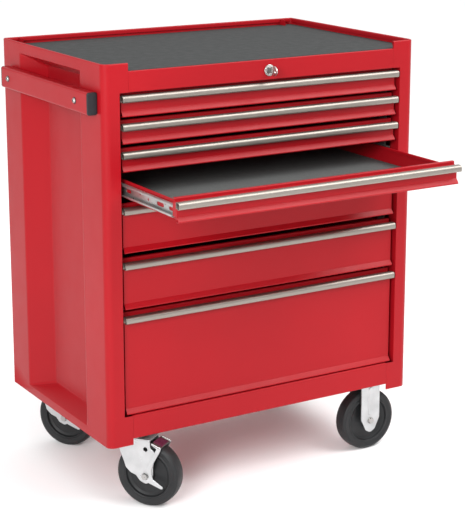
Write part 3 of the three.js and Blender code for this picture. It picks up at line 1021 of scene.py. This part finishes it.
def fork_holes():
    """A small hole near the top of each leg."""
    return extruded(arc((0, 53), 4.4, 0, 345, 23), "y", -LEG_OUT - 3, LEG_OUT + 3)


def lower_race():
    """The fork's half of the swivel bearing, under the plate's half."""
    profile = filleted([(0.02, 72.2), (25, 72.2), (25, 76.4), (0.02, 76.4)], 1.2, 3)
    return turned(profile, "z", 56).shifted(-30, 0, 0)


def raceway_form():
    """The upper ball race, with its plate's top at z = 0."""
    low = -10.8
    profile = [
        (0.02, low),
        (24.6, low),
        (26.4, low + 1.2),
        (27, low + 3.6),
        (26.2, low + 6.2),
        (22.5, -3),
        (0.02, -3),
    ]
    return turned(filleted(profile, 1.0, 3), "z", 56)


def brake_arms():
    """Two arms from the axle line up to the pedal, with a tail ahead of the tyre."""
    tail = [(-9, 1), (-7, -7), (4, -11), (32, -21), (36, -20), (36, -17), (16, -4)]
    front = [(13, 6), (13, 16), (18, 30), (31, 53.5), (33.4, 60.8)]
    head = [*front, (13.4, 68), (12.4, 64.9), (24, 58), (-1, 10)]
    shape = filleted(tail + head, 1.8, 3, closed=True)
    return extruded(shape, "y", ARM_IN, ARM_OUT) + extruded(shape, "y", -ARM_OUT, -ARM_IN)


def pedal_plate():
    """The plate that joins the two arms under the tread."""
    outline = filleted([(12.4, 64.8), (31.6, 58.2), (32.1, 59.7), (12.9, 66.4)], 0.5, 2, closed=True)
    return extruded(outline, "y", -ARM_OUT, ARM_OUT)


def pedal_cover():
    """The red tread moulded over the pedal."""
    low, high = Vector((12.9, 66.3)), Vector((31.0, 60.0))
    over_low, over_high = Vector((13.3, 67.9)), Vector((32.0, 61.4))
    outline = filleted([low, high, over_high, over_low], 0.6, 3, closed=True)
    tread = extruded(outline, "y", -TREAD_HALF, TREAD_HALF)
    slope = math.atan2(over_high.y - over_low.y, over_high.x - over_low.x)
    bars = []
    for i in range(5):
        at = over_low.lerp(over_high, 0.1 + 0.2 * i)
        bar = extruded(rounded_box((-1.2, -0.6), (1.2, 0.7), 0.5), "y", -TREAD_HALF + 2, TREAD_HALF - 2)
        bars.append(bar.placed(Matrix.Rotation(-slope, 4, "Y")).shifted(at.x, 0, at.y))
    return together([tread, *bars])


for place in ("front_left", "back_left"):
    at = axle_frame(f"{place}_roll")
    pivot = local(joints[f"{place}_swivel"]["pos_m"])
    castor, swivel, brake = f"castor_{place}", f"swivel_{place}", f"brake_{place}"
    _, plate_high = span(f"{castor}_plate")
    plate = (plate_form(0) + raceway_form()).shifted(pivot.x, pivot.y, plate_high.z)
    piece(f"{castor}_mount", "cabinet", CASTOR_STEEL, plate, [f"{castor}_plate"], bevel=0.4)
    fork = fork_form().placed(at)
    yoke = piece(f"{castor}_yoke", swivel, CASTOR_STEEL, fork, [f"{castor}_fork"], bevel=0.5)
    pierce(yoke, fork_holes().placed(at))
    piece(f"{castor}_race", swivel, RACE_STEEL, lower_race().placed(at))
    rolling_pieces(castor, f"wheel_{place}", at)
    bolt = axle_form(ARM_OUT).placed(at)
    piece(f"{castor}_bolt", swivel, BOLT_STEEL, bolt, [f"{castor}_axle"])
    arms = brake_arms().placed(at)
    piece(f"{castor}_lever", brake, CASTOR_STEEL, arms, [f"{castor}_brake"], bevel=0.4)
    # the footplate is dark race steel rather than zinc: painted shade for the shadow that falls under the
    # red tread
    piece(f"{castor}_footplate", brake, RACE_STEEL, pedal_plate().placed(at), bevel=0.3)
    piece(f"{castor}_pedal", brake, PEDAL_RED, pedal_cover().placed(at), bevel=0.3)

# ---- floor, lights and camera ----

FLOOR_HALF = 30.0
WORLD_LOW, WORLD_HIGH = 0.5, 1.4
# name, place, what it faces, width and height in metres, and power in watts
SOFTBOXES = (
    ("key_softbox", (-2.5, -2.1, 1.7), (0, 0, 0.45), 1.3, 1.1, 90),
    ("top_softbox", (1.5, -1.5, 2.8), (0, -0.1, 0.5), 2.2, 1.4, 75),
)
CAMERA_AT = (-1.55, -2.584, 1.244)
YAW = math.radians(31.08)
PITCH = math.radians(13.0)
SENSOR = 36.0
LENS = 109.8
SHIFT_Y = -0.12

floor_mesh = bpy.data.meshes.new("floor")
floor_corners = [(x * FLOOR_HALF, y * FLOOR_HALF, 0) for x, y in ((-1, -1), (1, -1), (1, 1), (-1, 1))]
floor_mesh.from_pydata(floor_corners, [], [(0, 1, 2, 3)])
floor = bpy.data.objects.new("floor", floor_mesh)
bpy.context.scene.collection.objects.link(floor)
pale = Surface("pale_floor", (0.93, 0.93, 0.93))
pale.rough(pale.noise(3, 2), 0.75, 0.85)
floor_mesh.materials.append(pale.material)

world = bpy.data.worlds.new("studio")
world.use_nodes = True
sky = world.node_tree
direction = sky.nodes.new("ShaderNodeTexCoord").outputs["Generated"]
split = sky.nodes.new("ShaderNodeSeparateXYZ")
overhead = sky.nodes.new("ShaderNodeMapRange")
overhead.inputs["To Min"].default_value = WORLD_LOW
overhead.inputs["To Max"].default_value = WORLD_HIGH
sky.links.new(direction, split.inputs["Vector"])
sky.links.new(split.outputs["Z"], overhead.inputs["Value"])
sky.links.new(overhead.outputs["Result"], sky.nodes["Background"].inputs["Strength"])
sky.nodes["Background"].inputs["Color"].default_value = (1, 1, 1, 1)
bpy.context.scene.world = world
bpy.context.scene.view_settings.view_transform = "Standard"


def softbox(name, place, target, width, height, power):
    """A rectangular area light, turned to face its target."""
    data = bpy.data.lights.new(name, "AREA")
    data.shape = "RECTANGLE"
    data.size = width
    data.size_y = height
    data.energy = power
    lamp = bpy.data.objects.new(name, data)
    lamp.location = place
    lamp.rotation_euler = (Vector(target) - Vector(place)).to_track_quat("-Z", "Y").to_euler()
    bpy.context.scene.collection.objects.link(lamp)


for given in SOFTBOXES:
    softbox(*given)

look = Vector((math.sin(YAW) * math.cos(PITCH), math.cos(YAW) * math.cos(PITCH), -math.sin(PITCH)))
right_hand = Vector((math.cos(YAW), -math.sin(YAW), 0))
up_hand = right_hand.cross(look)
camera = bpy.data.objects.new("camera", bpy.data.cameras.new("camera"))
camera.data.sensor_width = SENSOR
camera.data.lens = LENS
camera.data.shift_y = SHIFT_Y
camera.data.clip_end = 100
turned_to = Matrix((right_hand, up_hand, -look)).transposed().to_4x4()
camera.matrix_world = Matrix.Translation(CAMERA_AT) @ turned_to
bpy.context.scene.collection.objects.link(camera)
bpy.context.scene.camera = camera
